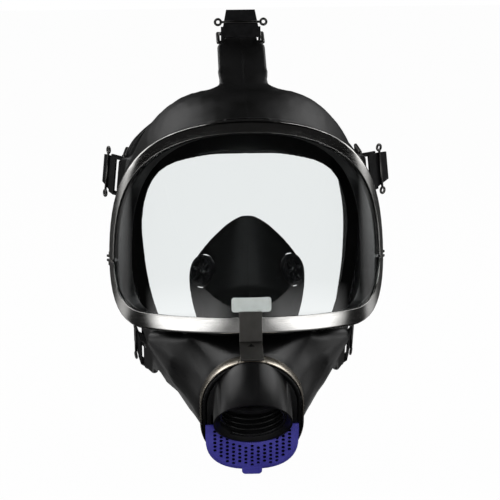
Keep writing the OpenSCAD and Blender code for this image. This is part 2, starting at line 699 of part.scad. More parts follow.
module buckle_lever(b) {
    half_w = ear_x + ear_t;
    color([0.16, 0.16, 0.17]) at_lever(b) {
        translate([0, 0, lever_z]) linear_extrude(lever_t)
            polygon([[-half_w, lever_start], [half_w, lever_start],
                [half_w - 3.5, lever_start + lever_l], [3.5 - half_w, lever_start + lever_l]]);
        for (s = [-1, 1]) translate([s * (ear_x + ear_t / 2), 0, 0]) rotate([90, 0, 90])
            linear_extrude(ear_t, center = true) difference() {
                union() {
                    circle(bail_r + 1.8);
                    polygon([[-bail_r - 1.2, 1], [bail_r + 1.2, -1], [lever_start + 7, lever_z],
                        [lever_start + 7, lever_z + lever_t], [lever_start, lever_z + lever_t]]);
                }
                circle(bail_r + pin_fit);
            }
    }
}
module buckle_wire(b) {
    ring_x = ear_x + ear_t + wire_ring_r;
    color([0.32, 0.32, 0.33]) at_lever(b) translate([0, lever_start + lever_l * 0.55, lever_z + lever_t + wire_r + 0.05]) {
        rotate([0, 90, 0]) cylinder(r = wire_r, h = 2 * (ring_x - wire_ring_r), center = true);
        for (s = [-1, 1]) translate([s * ring_x, 0, 0]) rotate_extrude() translate([wire_ring_r, 0]) circle(wire_r);
    }
}

// Head harness: five straps from the bails to a plate at the back of the head
function path_point(path, f) =
    let (n = len(path) - 1, i = max(0, min(floor(f), n - 1)),
        before = i > 0 ? path[i - 1] : 2 * path[0] - path[1], after = i < n - 1 ? path[i + 2] : 2 * path[n] - path[n - 1])
    spline(before, path[i], path[i + 1], after, f - i);
function strap_section(path, f, bar) =
    let (p = path_point(path, f), t = unit(path_point(path, f + 0.02) - path_point(path, f - 0.02)),
        free = unit(cross(t, p - head_centre)), w = unit(lerp(bar, free, min(1, f / 2))), n = cross(w, t))
    [p - strap_w / 2 * w - strap_t / 2 * n, p + strap_w / 2 * w - strap_t / 2 * n,
     p + strap_w / 2 * w + strap_t / 2 * n, p - strap_w / 2 * w + strap_t / 2 * n];
module strap(b, path) {
    steps = 4;
    full = concat([buckle_point(b, [0, bail_l + 1, 0]), buckle_point(b, [0, bail_l + 9, 0])], path);
    count = (len(full) - 1) * steps;
    skin([for (i = [0 : count]) strap_section(full, i / steps, unit(b[1]))]);
    hull() for (y = [0, 4]) at_buckle(b) translate([0, bail_l + y, 0]) rotate([0, 90, 0])
        cylinder(r = y > 0 ? strap_t / 2 : eye_r - 0.4, h = strap_w, center = true, $fn = 20);
}
module head_harness() {
    color([0.08, 0.08, 0.08]) difference() {
        union() {
            strap(buckle_top, path_top);
            for (s = [0, 1]) mirror([s, 0, 0]) {
                strap(buckle_temple, path_temple);
                strap(buckle_cheek, path_cheek);
            }
            for (e = plate_arms) hull() for (c = [e, [0, 0]])
                translate(plate_at + [c[0], -abs(c[0]) / 10, c[1]])
                    rotate([90, 0, 0]) cylinder(r = plate_arm_r, h = plate_t, center = true, $fn = 32);
        }
        at_each_buckle() translate([0, bail_l, 0]) rotate([0, 90, 0])
            cylinder(r = bail_r + 0.3, h = strap_w + 2, center = true, $fn = 20);
    }
}

module left() {
    mirror([1, 0, 0]) children();
}
visor_lens();
upper_clamp_frame();
lower_clamp_frame();
frame_screws();
frame_nuts();
face_blank();
inner_mask();
check_valve_seat(-1);  // check_valve_seat_left
check_valve_seat(1);  // check_valve_seat_right
check_valve_disc(-1);  // check_valve_disc_left
check_valve_disc(1);  // check_valve_disc_right
connector_housing();
clamp_band();
clamp_band_screw();
frame_bracket();
thread_gasket();
inhalation_valve_seat();
inhalation_valve_disc();
exhalation_valve_seat();
exhalation_valve_disc();
exhalation_cover();
head_harness();
buckle_bail(buckle_top);  // buckle_bail_top
left() buckle_bail(buckle_temple);  // buckle_bail_temple_left
buckle_bail(buckle_temple);  // buckle_bail_temple_right
left() buckle_bail(buckle_cheek);  // buckle_bail_cheek_left
buckle_bail(buckle_cheek);  // buckle_bail_cheek_right
buckle_lever(buckle_top);  // buckle_lever_top
left() buckle_lever(at_rest(buckle_temple, left_temple_rest));  // buckle_lever_temple_left
buckle_lever(buckle_temple);  // buckle_lever_temple_right
left() buckle_lever(buckle_cheek);  // buckle_lever_cheek_left
buckle_lever(buckle_cheek);  // buckle_lever_cheek_right
buckle_wire(buckle_top);  // buckle_wire_top
left() buckle_wire(at_rest(buckle_temple, left_temple_rest));  // buckle_wire_temple_left
buckle_wire(buckle_temple);  // buckle_wire_temple_right
left() buckle_wire(buckle_cheek);  // buckle_wire_cheek_left
buckle_wire(buckle_cheek);  // buckle_wire_cheek_right
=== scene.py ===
# %% [markdown]
# # A full-face respirator mask
# The mask is a clear visor held in a folded steel rim, a black rubber face blank, a rubber nose cup,
# a threaded filter socket with a blue valve cover under it, and straps with lever buckles.
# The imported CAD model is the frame: every piece below sits where its solid sits, in metres.

# %% Load the frame
import json
from math import copysign, cos, hypot, pi, radians, sin, sqrt, tan

import bmesh
import bpy
from mathutils import Matrix, Vector
from mathutils.bvhtree import BVHTree


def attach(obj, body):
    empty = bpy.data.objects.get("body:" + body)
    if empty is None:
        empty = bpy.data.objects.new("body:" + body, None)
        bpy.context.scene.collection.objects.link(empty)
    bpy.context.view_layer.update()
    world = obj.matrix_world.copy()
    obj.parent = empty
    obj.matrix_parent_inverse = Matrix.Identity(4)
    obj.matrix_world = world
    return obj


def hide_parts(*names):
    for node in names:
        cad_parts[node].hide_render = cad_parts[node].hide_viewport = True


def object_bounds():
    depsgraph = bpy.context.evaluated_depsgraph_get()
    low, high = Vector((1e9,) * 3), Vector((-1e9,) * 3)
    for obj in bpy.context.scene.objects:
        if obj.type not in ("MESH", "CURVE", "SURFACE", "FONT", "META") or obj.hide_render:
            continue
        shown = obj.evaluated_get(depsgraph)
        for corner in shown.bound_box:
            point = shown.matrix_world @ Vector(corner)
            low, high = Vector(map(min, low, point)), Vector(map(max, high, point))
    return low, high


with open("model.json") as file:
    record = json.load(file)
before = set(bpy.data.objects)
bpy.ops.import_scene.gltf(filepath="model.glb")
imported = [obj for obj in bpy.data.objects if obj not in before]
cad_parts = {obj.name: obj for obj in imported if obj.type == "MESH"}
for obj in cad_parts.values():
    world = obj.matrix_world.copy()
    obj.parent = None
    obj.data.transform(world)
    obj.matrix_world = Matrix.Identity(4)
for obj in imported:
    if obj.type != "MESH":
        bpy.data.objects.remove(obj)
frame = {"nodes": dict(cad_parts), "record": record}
cad_box = [list(corner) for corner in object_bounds()]
scene = bpy.context.scene
MM = 0.001
body_of_node = {node: body for body, nodes in frame["record"]["behaviour"]["bodies"].items() for node in nodes}
slot_of_node = {row["node"]: row["material_slot"] for row in frame["record"]["subparts"]}

# %% [markdown]
# ## Camera
# The picture is taken from almost straight ahead, a little to the left and a little above, with a long lens.
# A camera can be aimed with a Track To constraint. Writing its three axes as a matrix is as short, and it
# also holds the small roll of the picture.

# %% Camera
view_turn, view_rise, view_roll = (radians(angle) for angle in (-2.15, 7.68, 0.65))
view_target = Vector((0.0002, -0.098, -0.0116))
view_distance = 1.4306
view_back = Vector((sin(view_turn) * cos(view_rise), -cos(view_turn) * cos(view_rise), sin(view_rise)))
level_right = Vector((cos(view_turn), sin(view_turn), 0))
level_up = view_back.cross(level_right)
view_right = level_right * cos(view_roll) - level_up * sin(view_roll)
view_up = level_right * sin(view_roll) + level_up * cos(view_roll)

camera_data = bpy.data.cameras.new("camera")
camera_data.lens = 169.7
camera_data.sensor_width = 36
camera = bpy.data.objects.new("camera", camera_data)
scene.collection.objects.link(camera)
camera.matrix_world = (Matrix.Translation(view_target + view_distance * view_back)
                       @ Matrix((view_right, view_up, view_back)).transposed().to_4x4())
scene.camera = camera
print("camera at", [round(v, 3) for v in camera.location])

# %% [markdown]
# ## Helpers for materials
# Colours are written as the hex values of a paint chart, and one function turns them to the linear
# values that the renderer works in. One function adds a node with its settings and its links, so that each
# tree below reads from its first pattern to its last.

# %% Material helpers
def linear(hex_colour):
    channels = [int(hex_colour[i:i + 2], 16) / 255 for i in (1, 3, 5)]
    return [c / 12.92 if c <= 0.04045 else ((c + 0.055) / 1.055) ** 2.4 for c in channels] + [1.0]


def add_node(tree, kind, sockets=None, **settings):
    """Adds a node; a socket takes a plain value, an output, or a node whose first output is meant."""
    node = tree.nodes.new(kind)
    for name, value in settings.items():
        setattr(node, name, value)
    for name, value in (sockets or {}).items():
        source = value.outputs[0] if isinstance(value, bpy.types.Node) else value
        if isinstance(source, bpy.types.NodeSocket):
            tree.links.new(source, node.inputs[name])
        else:
            node.inputs[name].default_value = source
    return node


def new_finish(name, **constants):
    """A material, its tree, its shader and the piece's own coordinates, with constants set on the shader."""
    material = bpy.data.materials.new(name)
    material.use_nodes = True
    tree = material.node_tree
    shader = tree.nodes["Principled BSDF"]
    for socket, value in constants.items():
        shader.inputs[socket.replace("_", " ")].default_value = value
    place = add_node(tree, "ShaderNodeTexCoord").outputs["Object"]
    return material, tree, shader, place


def per_mm(size):
    """Pattern scale whose marks are about size millimetres across."""
    return 1 / (size * MM)


# %% [markdown]
# ## Stage and light
# The picture has a pure white ground and soft light from both sides. The floor is pale and keeps a
# shadow; most of what the camera and mirrors see of it is a plain white glow, which costs no light on
# the object. The room in front of the mask is dim, and that is what the steel rim and the visor mirror.

# %% Floor
scene.view_settings.view_transform = "Standard"
floor_half, floor_front, floor_back, floor_low = 5, -0.75, 9, cad_box[0][2] - 0.002
floor_mesh = bpy.data.meshes.new("floor")
floor_mesh.from_pydata([(-floor_half, floor_front, floor_low), (floor_half, floor_front, floor_low),
                        (floor_half, floor_back, floor_low), (-floor_half, floor_back, floor_low)], [],
                       [(0, 1, 2, 3)])
floor = bpy.data.objects.new("floor", floor_mesh)
scene.collection.objects.link(floor)


def bright_where(tree, *limits):
    """Brightness as a product of fades; each runs from low to high while its measure runs from start to end."""
    total = 1.0
    for measure, start, end, low, high in limits:
        step = add_node(tree, "ShaderNodeMapRange", {"Value": measure, "From Min": start, "From Max": end,
                                                     "To Min": low, "To Max": high})
        total = add_node(tree, "ShaderNodeMath", {0: total, 1: step}, operation="MULTIPLY")
    return total


def seen_by_rays(tree, strength, *seen):
    """A strength that is changed for the kinds of ray that seen names."""
    light_path = add_node(tree, "ShaderNodeLightPath").outputs
    for kind, value in seen:
        strength = add_node(tree, "ShaderNodeMix", {0: light_path[kind], 2: strength, 3: value})
    return strength


paper, tree, shader, place = new_finish("white_paper", Roughness=0.9, Base_Color=linear("#f4f4f4"))
fibres = add_node(tree, "ShaderNodeTexNoise", {"Vector": place, "Scale": per_mm(2.0), "Detail": 4.0})
bump = add_node(tree, "ShaderNodeBump", {"Height": fibres, "Strength": 0.05, "Distance": 0.2 * MM})
tree.links.new(bump.outputs["Normal"], shader.inputs["Normal"])
# in mirrors the paper is bright in two pools in front of the mask and towards the white side walls
spot = add_node(tree, "ShaderNodeSeparateXYZ", {"Vector": place}).outputs
aside = add_node(tree, "ShaderNodeMath", {0: spot["X"]}, operation="ABSOLUTE")
away = add_node(tree, "ShaderNodeVectorMath", {0: place, 1: (0, -0.1, floor_low)},
                operation="DISTANCE").outputs["Value"]
backward = add_node(tree, "ShaderNodeMath", {0: spot["Y"], 1: away}, operation="DIVIDE")
pools = bright_where(tree, (away, 0.85, 0.62, 0.0, 2.0), (aside, 0.12, 0.3, 0.1, 1.0),
                     (spot["Y"], -0.12, -0.25, 0.0, 1.0))
sides = bright_where(tree, (backward, 0.1, 0.2, 0.0, 0.55), (backward, 0.3, 0.45, 1.0, 0.06))
in_mirrors = add_node(tree, "ShaderNodeMath", {0: pools, 1: sides}, operation="MAXIMUM")
through_lens = bright_where(tree, (spot["Y"], 0.25, 0.55, 0.0, 1.0))
level = seen_by_rays(tree, 1.0, ("Is Glossy Ray", in_mirrors), ("Is Transmission Ray", through_lens))
glow = add_node(tree, "ShaderNodeEmission", {"Color": (1, 1, 1, 1), "Strength": level})
glow_share = 0.98
direct = seen_by_rays(tree, 0.0, *((kind, glow_share) for kind in (
    "Is Camera Ray", "Is Glossy Ray", "Is Transmission Ray")))
blended = add_node(tree, "ShaderNodeMixShader", {0: direct, 1: shader, 2: glow})
tree.links.new(blended.outputs[0], tree.nodes["Material Output"].inputs["Surface"])
floor.data.materials.append(paper)
print("floor at", round(floor_low, 4))

# %% [markdown]
# ## World
# To the camera the world is plain white. In mirrors it is a room with bright walls at both sides, through the
# lens it is white only straight behind, and to all other rays it is a weak fill.

# %% World
world = bpy.data.worlds.new("studio")
world.use_nodes = True
scene.world = world
tree = world.node_tree
tree.nodes.clear()
direction = add_node(tree, "ShaderNodeTexCoord").outputs["Generated"]
toward = add_node(tree, "ShaderNodeSeparateXYZ", {"Vector": direction}).outputs
aside = add_node(tree, "ShaderNodeMath", {0: toward["X"]}, operation="ABSOLUTE")
low_walls = bright_where(tree, (toward["Y"], 0.1, 0.2, 0.012, 2.0), (toward["Y"], 0.3, 0.45, 1.0, 0.03))
high_sides = bright_where(tree, (aside, 0.25, 0.5, 0.01, 0.65), (toward["Y"], 0.0, 0.15, 0.0, 1.0),
                          (toward["Z"], 0.75, 0.95, 1.0, 0.05))
upper = bright_where(tree, (toward["Z"], 0.2, 0.35, 0.0, 1.0))
mirror_room = add_node(tree, "ShaderNodeMix", {0: upper, 2: low_walls, 3: high_sides})
lens_room = bright_where(tree, (toward["Y"], 0.4, 0.65, 0.02, 1.0), (toward["Z"], 0.08, 0.25, 1.0, 0.02))
fill_light = 0.08
strength = seen_by_rays(tree, fill_light, ("Is Glossy Ray", mirror_room), ("Is Transmission Ray", lens_room),
                        ("Is Camera Ray", 1.0))
sky = add_node(tree, "ShaderNodeBackground", {"Color": (1, 1, 1, 1), "Strength": strength})
add_node(tree, "ShaderNodeOutputWorld", {"Surface": sky})
print("fill light", fill_light)

# %% [markdown]
# ## Soft boxes
# Two soft boxes hang high at the sides, a little behind the mask, and draw the long highlights on rubber and
# steel. A wide panel in front lights the nose cup, the label and the cover. Mirrors do not show it, because
# the visor would turn grey.

# %% Soft boxes
soft_boxes = [  # name, place, width, height, watts, shows in mirrors
    ("soft_box_left", (-0.98, 0.25, 1.1), 1.4, 1.0, 8.0, True),
    ("soft_box_right", (0.98, 0.25, 1.1), 1.4, 1.0, 7.0, True),
    ("fill_panel_front", (0.0, -1.9, 0.9), 2.5, 1.5, 30.0, False),
]
lamp_target = Vector((0, -0.08, -0.03))
for name, where, width, height, watts, shows in soft_boxes:
    lamp = bpy.data.lights.new(name, "AREA")
    lamp.shape, lamp.size, lamp.size_y, lamp.energy = "RECTANGLE", width, height, watts
    box = bpy.data.objects.new(name, lamp)
    box.location = where
    box.rotation_euler = (lamp_target - Vector(where)).to_track_quat("-Z", "Y").to_euler()
    box.visible_glossy = shows
    scene.collection.objects.link(box)
print("soft boxes:", len(soft_boxes))

# %% [markdown]
# ## Rubber
# The face blank is compression-moulded natural rubber: deep black, satin, with a soft broad shine, a fine
# grain left by the mould and a thin bloom that makes it a little greyer in patches. A thin raised line
# down the middle is where the halves of the mould met. The nose cup and the straps are the same rubber,
# more matt, and the thin valve discs are dark grey.

# %% Rubber finishes
def mottle(tree, shader, paint, dark, light, wear, gloss):
    """Colour wanders between two paints with the pattern paint, and roughness between the two values of gloss
    with the pattern wear."""
    middle = {"From Min": 0.3, "From Max": 0.7}  # noise seldom leaves this range
    share = add_node(tree, "ShaderNodeMapRange", {"Value": paint, **middle})
    colour = add_node(tree, "ShaderNodeMix", {"Factor": share, 6: linear(dark), 7: linear(light)}, data_type="RGBA")
    rough = add_node(tree, "ShaderNodeMapRange", {"Value": wear, **middle, "To Min": gloss[0], "To Max": gloss[1]})
    tree.links.new(colour.outputs[2], shader.inputs["Base Color"])
    tree.links.new(rough.outputs["Result"], shader.inputs["Roughness"])


def moulded_rubber(name, dark, light, gloss, grain, shine=0.4, seam=0.0):
    material, tree, shader, place = new_finish(name, Specular_IOR_Level=shine, IOR=1.52)
    bloom = add_node(tree, "ShaderNodeTexNoise", {"Vector": place, "Scale": per_mm(16), "Detail": 5.0})
    mottle(tree, shader, bloom, dark, light, bloom, gloss)
    height = add_node(tree, "ShaderNodeTexNoise", {"Vector": place, "Scale": per_mm(grain), "Detail": 2.0})
    if seam:
        across = add_node(tree, "ShaderNodeSeparateXYZ", {"Vector": place}).outputs["X"]
        aside = add_node(tree, "ShaderNodeMath", {0: across}, operation="ABSOLUTE")
        line = add_node(tree, "ShaderNodeMapRange", {"Value": aside, "From Min": 0.0, "From Max": seam * MM,
                                                     "To Min": 3.0, "To Max": 0.0})
        height = add_node(tree, "ShaderNodeMath", {0: height, 1: line}, operation="ADD")
    bump = add_node(tree, "ShaderNodeBump", {"Height": height, "Strength": 0.12, "Distance": 0.25 * MM})
    tree.links.new(bump.outputs["Normal"], shader.inputs["Normal"])
    return material


# the mould's grain is nearer 0.2 mm; it is drawn at 0.5 to 0.7 mm so that it shows
face_rubber = moulded_rubber("face_rubber_satin_moulded", "#040404", "#080809", (0.30, 0.40), 0.7, shine=0.5, seam=0.8)
cup_rubber = moulded_rubber("cup_rubber_matt_moulded", "#020202", "#050505", (0.42, 0.56), 0.7, shine=0.2, seam=0.7)
strap_rubber = moulded_rubber("strap_rubber_matt_moulded", "#080808", "#101011", (0.44, 0.58), 0.6)
disc_rubber = moulded_rubber("valve_rubber_thin_moulded", "#232325", "#303033", (0.4, 0.5), 0.5)
print("rubbers made")

# %% [markdown]
# ## Metals
# The rim is bright stainless sheet with fine rolling lines, and its bracket is a darker satin sheet. The band
# round the snout is a slightly warmer bright steel. The buckle wire is dulled steel, and the lever plates
# carry a black oxide coat that is rubbed a little in random patches.

# %% Metal finishes
def rolled_steel(name, dark, light, gloss, line, relief=0.06):
    material, tree, shader, place = new_finish(name, Metallic=1.0)
    # rolling lines run along the strip, so the pattern is stretched twenty times along it
    along = add_node(tree, "ShaderNodeMapping", {"Vector": place, "Scale": (0.05, 0.05, 1.0)})
    lines = add_node(tree, "ShaderNodeTexNoise", {"Vector": along, "Scale": per_mm(line), "Detail": 3.0})
    patches = add_node(tree, "ShaderNodeTexNoise", {"Vector": place, "Scale": per_mm(9), "Detail": 3.0})
    mottle(tree, shader, patches, dark, light, lines, gloss)
    bump = add_node(tree, "ShaderNodeBump", {"Height": lines, "Strength": relief, "Distance": 0.05 * MM})
    tree.links.new(bump.outputs["Normal"], shader.inputs["Normal"])
    return material


rim_steel = rolled_steel("stainless_sheet_rolled", "#d2d1ce", "#dedddb", (0.12, 0.20), 0.5)
band_steel = rolled_steel("bright_steel_strip", "#d2c8b8", "#e2dacd", (0.24, 0.30), 6.0, relief=0.01)
bracket_steel = rolled_steel("stainless_sheet_satin", "#82807d", "#92908c", (0.36, 0.46), 0.5)
wire_steel = rolled_steel("buckle_wire_drawn", "#5c5b5a", "#7a7977", (0.26, 0.40), 0.4)

plate_black, tree, shader, place = new_finish("lever_plate_black_oxide", Specular_IOR_Level=0.25)
rub = add_node(tree, "ShaderNodeTexNoise", {"Vector": place, "Scale": per_mm(3), "Detail": 6.0})
mottle(tree, shader, rub, "#0b0b0c", "#171718", rub, (0.5, 0.34))
fine = add_node(tree, "ShaderNodeTexNoise", {"Vector": place, "Scale": per_mm(0.4), "Detail": 2.0})
bump = add_node(tree, "ShaderNodeBump", {"Height": fine, "Strength": 0.1, "Distance": 0.05 * MM})
tree.links.new(bump.outputs["Normal"], shader.inputs["Normal"])
print("metals made")

# %% [markdown]
# ## Plastics and the lens
# The socket is black glass-filled nylon with a spark-eroded skin, shinier on its thread. The cover is
# blue-violet ABS from a polished mould, the label is white film with a little dust, and the visor is clear
# bent polycarbonate with a trace of haze. A lens of solid glass shader would shut the lamps out of the mask,
# so rays from lamps pass it as if it were not there.

# %% Plastic finishes
def moulded_plastic(name, dark, light, gloss, relief):
    material, tree, shader, place = new_finish(name, IOR=1.5)
    flow = add_node(tree, "ShaderNodeTexNoise", {"Vector": place, "Scale": per_mm(12), "Detail": 4.0})
    mottle(tree, shader, flow, dark, light, flow, gloss)
    spark = add_node(tree, "ShaderNodeTexNoise", {"Vector": place, "Scale": per_mm(0.5), "Detail": 2.0})
    bump = add_node(tree, "ShaderNodeBump", {"Height": spark, "Strength": relief, "Distance": 0.08 * MM})
    tree.links.new(bump.outputs["Normal"], shader.inputs["Normal"])
    return material


socket_plastic = moulded_plastic("black_nylon_moulded", "#0b0b0c", "#131314", (0.30, 0.42), 0.12)
# the thread's paints are a touch lighter than the socket's: a painted highlight for the light its flanks catch
thread_plastic = moulded_plastic("black_nylon_thread", "#0c0c0d", "#151516", (0.14, 0.22), 0.05)
cover_plastic = moulded_plastic("blue_abs_moulded", "#3c3993", "#4643a3", (0.30, 0.42), 0.06)

lens_clear, tree, shader, place = new_finish("clear_polycarbonate_bent", Base_Color=linear("#f3f7f7"), IOR=1.58,
                                             Transmission_Weight=1.0)
haze = add_node(tree, "ShaderNodeTexNoise", {"Vector": place, "Scale": per_mm(25), "Detail": 3.0})
rough = add_node(tree, "ShaderNodeMapRange", {"Value": haze, "From Min": 0.3, "From Max": 0.7, "To Max": 0.03})
tree.links.new(rough.outputs["Result"], shader.inputs["Roughness"])
lamp_ray = add_node(tree, "ShaderNodeLightPath").outputs["Is Shadow Ray"]
passing = add_node(tree, "ShaderNodeBsdfTransparent", {"Color": linear("#f6f9f9")})
blended = add_node(tree, "ShaderNodeMixShader", {0: lamp_ray, 1: shader, 2: passing})
tree.links.new(blended.outputs[0], tree.nodes["Material Output"].inputs["Surface"])

label_paper, tree, shader, place = new_finish("white_label_film", Specular_IOR_Level=0.5)
dust = add_node(tree, "ShaderNodeTexNoise", {"Vector": place, "Scale": per_mm(4), "Detail": 5.0})
mottle(tree, shader, dust, "#eceae6", "#f7f6f3", dust, (0.35, 0.5))
print("plastics made")

finish_of_slot = {
    "clear_lens": lens_clear, "stainless_steel": rim_steel, "band_steel": band_steel, "face_rubber": face_rubber,
    "inner_rubber": cup_rubber, "strap_rubber": strap_rubber, "black_plastic": socket_plastic,
    "blue_plastic": cover_plastic, "valve_rubber": disc_rubber, "dark_plate": plate_black,
    "buckle_wire": wire_steel,
}

# %% [markdown]
# ## Rigid pieces
# A solid from CAD has knife edges and flat facets. Real edges are rounded a little, and that thin round
# catches the light. Each rigid piece is a merged copy of its solid with smooth shading between its sharp edges;
# the rim frames, band, socket and levers also get a narrow bevel on those edges. The mouth of the socket gets the
# conical lead-in of a real thread.

# %% Dress the rigid solids
def merged_mesh(node):
    """A copy of a solid's mesh with its loose triangles joined."""
    mesh = frame["nodes"][node].data.copy()
    mesh.materials.clear()
    form = bmesh.new()
    form.from_mesh(mesh)
    bmesh.ops.remove_doubles(form, verts=form.verts, dist=0.002 * MM)
    bmesh.ops.dissolve_degenerate(form, edges=form.edges, dist=0.0005 * MM)
    form.to_mesh(mesh)
    form.free()
    return mesh


def new_piece(name, mesh, material):
    mesh.name = name
    mesh.materials.clear()
    mesh.materials.append(material)
    piece = bpy.data.objects.new(name, mesh)
    scene.collection.objects.link(piece)
    return piece


def baked(piece):
    """Turns what the piece's modifiers make into its own plain mesh."""
    bpy.context.view_layer.update()
    result = bpy.data.meshes.new_from_object(piece.evaluated_get(bpy.context.evaluated_depsgraph_get()))
    piece.modifiers.clear()
    piece.data = result
    return piece


def round_edges(piece, width, least_turn):
    """Bevels by width millimetres the edges that turn by least_turn degrees or more."""
    bevel = piece.modifiers.new("edge_round", "BEVEL")
    bevel.width, bevel.segments = width * MM, 2
    bevel.limit_method, bevel.angle_limit = "ANGLE", radians(least_turn)
    baked(piece)


def shade(piece, sharp_turn, even=False):
    """Shades smoothly up to edges that turn by sharp_turn degrees; when even, the broad faces keep their own
    direction and the bevel takes up the turn."""
    piece.data.shade_smooth()
    piece.data.set_sharp_from_angle(angle=radians(sharp_turn))
    if even:
        weighted = piece.modifiers.new("even", "WEIGHTED_NORMAL")
        weighted.keep_sharp = True
        baked(piece)


def stand_for(piece, node):
    """The piece takes the place of a solid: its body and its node."""
    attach(piece, body_of_node[node])
    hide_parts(node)


socket_axis = Vector(next(m["axis"] for m in frame["record"]["mounts"] if m["name"] == "filter_thread"))
socket_base = Vector((0, -110.749, -102.473)) * MM
mouth_at, lead_in, bore_radius, lip_radius, rim_depth, rim_width = 15.5, 3.0, 20.15, 22.75, 0.2, 0.4


def cut_lead_in(mesh):
    """Opens the last millimetres of the bore to a cone, which leaves a thin lip round the mouth."""
    form = bmesh.new()
    form.from_mesh(mesh)
    bmesh.ops.bisect_plane(form, geom=form.verts[:] + form.edges[:] + form.faces[:], plane_no=socket_axis,
                           plane_co=socket_base + (mouth_at - lead_in) * MM * socket_axis)
    for vertex in form.verts:
        offset = vertex.co - socket_base
        along = offset.dot(socket_axis)
        outward = offset - along * socket_axis
        if along > (mouth_at - rim_depth) * MM and outward.length < (bore_radius + rim_width) * MM:
            vertex.co += outward.normalized() * (lip_radius - bore_radius) * MM
    form.to_mesh(mesh)
    form.free()


edge_round = {  # millimetres of bevel on the sharp edges
    "upper_clamp_frame": 0.2, "lower_clamp_frame": 0.2, "clamp_band": 0.15,
    "connector_housing": 0.35,
}
edge_round.update({node: 0.25 for node in frame["nodes"] if node.startswith("buckle_lever")})
broad_faced = [node for node in edge_round if node not in ("clamp_band", "connector_housing")]
made_apart = ("face_blank", "inner_mask", "head_harness", "visor_lens", "frame_bracket", "exhalation_cover")
for node in frame["nodes"]:
    if node in made_apart:
        continue
    piece = new_piece(node + ".dressed", merged_mesh(node), finish_of_slot[slot_of_node[node]])
    if node == "connector_housing":
        cut_lead_in(piece.data)
    if node in edge_round:
        flats = bmesh.new()
        flats.from_mesh(piece.data)
        bmesh.ops.dissolve_limit(flats, angle_limit=radians(0.5), verts=flats.verts, edges=flats.edges)
        flats.to_mesh(piece.data)
        flats.free()
        round_edges(piece, edge_round[node], 40)
    shade(piece, 35, even=node in broad_faced)
    stand_for(piece, node)
print("rigid pieces:", len(frame["nodes"]) - len(made_apart))

# %% [markdown]
# ## The lens
# The visor is a flat sheet of polycarbonate cut to an outline and bent round an upright cylinder. What is
# seen through it depends on its normals, so it is made as a fine grid: each column is a line of the flat
# sheet, and the whole sheet is then rolled on to the cylinder, front and back.

# %% Bend the lens
bend_radius, bend_axis, lens_thick, lens_edge = 94.0, -4.0, 2.5, 4.3
half_span, corner_radius, visor_top, visor_bottom = 109.0, 40.0, 67.5, 63.6
seam_height = corner_radius - visor_bottom
straight_half = half_span - corner_radius
arch_power, corner_power, arch_step = 2.1, 2.25, 0.004


def arch(turn):
    """The upper outline of the flat sheet; turn runs -0.5 to 0.5 from one end over the top to the other."""
    angle = pi * abs(turn)
    return Vector((copysign(half_span * sin(angle) ** (2 / arch_power), turn),
                   seam_height + (visor_top - seam_height) * max(0.0, cos(angle)) ** (2 / arch_power)))


def lens_top(turn):
    along = (arch(turn + arch_step) - arch(turn - arch_step)).normalized()
    return arch(turn) - lens_edge * Vector((-along.y, along.x))


def lens_floor(across):
    if abs(across) <= straight_half:
        return lens_edge - visor_bottom
    radius = corner_radius - lens_edge
    share = min(1.0, (abs(across) - straight_half) / radius)
    return seam_height - radius * (1 - share ** corner_power) ** (1 / corner_power)


def rolled(across, height, radius):
    angle = across / bend_radius
    return Vector((radius * sin(angle), bend_axis - radius * cos(angle), height)) * MM


def from_form(name, form, material):
    mesh = bpy.data.meshes.new(name)
    form.to_mesh(mesh)
    form.free()
    return new_piece(name, mesh, material)


lens_columns, lens_rows, lens_end = 120, 24, 0.496
form = bmesh.new()
faces_of_lens = []
for radius in (bend_radius, bend_radius - lens_thick):
    columns = []
    for i in range(lens_columns + 1):
        top = lens_top((2 * i / lens_columns - 1) * lens_end)
        low = lens_floor(top.x)
        columns.append([form.verts.new(rolled(top.x, low + (top.y - low) * j / lens_rows, radius))
                        for j in range(lens_rows + 1)])
    faces_of_lens.append(columns)
front, back = faces_of_lens
for i in range(lens_columns):
    for j in range(lens_rows):
        form.faces.new((front[i][j], front[i + 1][j], front[i + 1][j + 1], front[i][j + 1]))
        form.faces.new((back[i][j], back[i][j + 1], back[i + 1][j + 1], back[i + 1][j]))
    form.faces.new((back[i][0], back[i + 1][0], front[i + 1][0], front[i][0]))
    form.faces.new((front[i][-1], front[i + 1][-1], back[i + 1][-1], back[i][-1]))
for j in range(lens_rows):
    form.faces.new((back[0][j], front[0][j], front[0][j + 1], back[0][j + 1]))
    form.faces.new((front[-1][j], back[-1][j], back[-1][j + 1], front[-1][j + 1]))
lens = from_form("visor_lens_sheet", form, lens_clear)
shade(lens, 35)
stand_for(lens, "visor_lens")
print("lens faces:", len(lens.data.polygons))

# %% [markdown]
# ## Soft pieces
# A rubber moulding has no sharp corners: walls run into each other in soft fillets. A voxel remesh joins
# everything into one even skin, and a few rounds of smoothing melt the corners.

# %% Melt the soft solids
voxel, most_faces = 0.75, 190000


def moulding(node, name, rounds):
    """A soft piece: its solid as one even skin, melted by rounds of smoothing and thinned to most_faces."""
    piece = new_piece(name, merged_mesh(node), finish_of_slot[slot_of_node[node]])
    remesh = piece.modifiers.new("skin", "REMESH")
    remesh.mode = "VOXEL"
    remesh.voxel_size = voxel * MM
    smooth = piece.modifiers.new("melt", "SMOOTH")
    smooth.factor, smooth.iterations = 0.5, rounds
    baked(piece)
    triangles = 2 * len(piece.data.polygons)
    if triangles > most_faces:
        thin = piece.modifiers.new("thin", "DECIMATE")
        thin.ratio = most_faces / triangles
        baked(piece)
    piece.data.shade_smooth()
    return piece


face_moulding = moulding("face_blank", "face_rubber_moulding", 12)
nose_cup = moulding("inner_mask", "nose_cup_moulding", 24)
stand_for(nose_cup, "inner_mask")
for piece in (face_moulding, nose_cup):
    print(piece.name, len(piece.data.polygons), "faces")

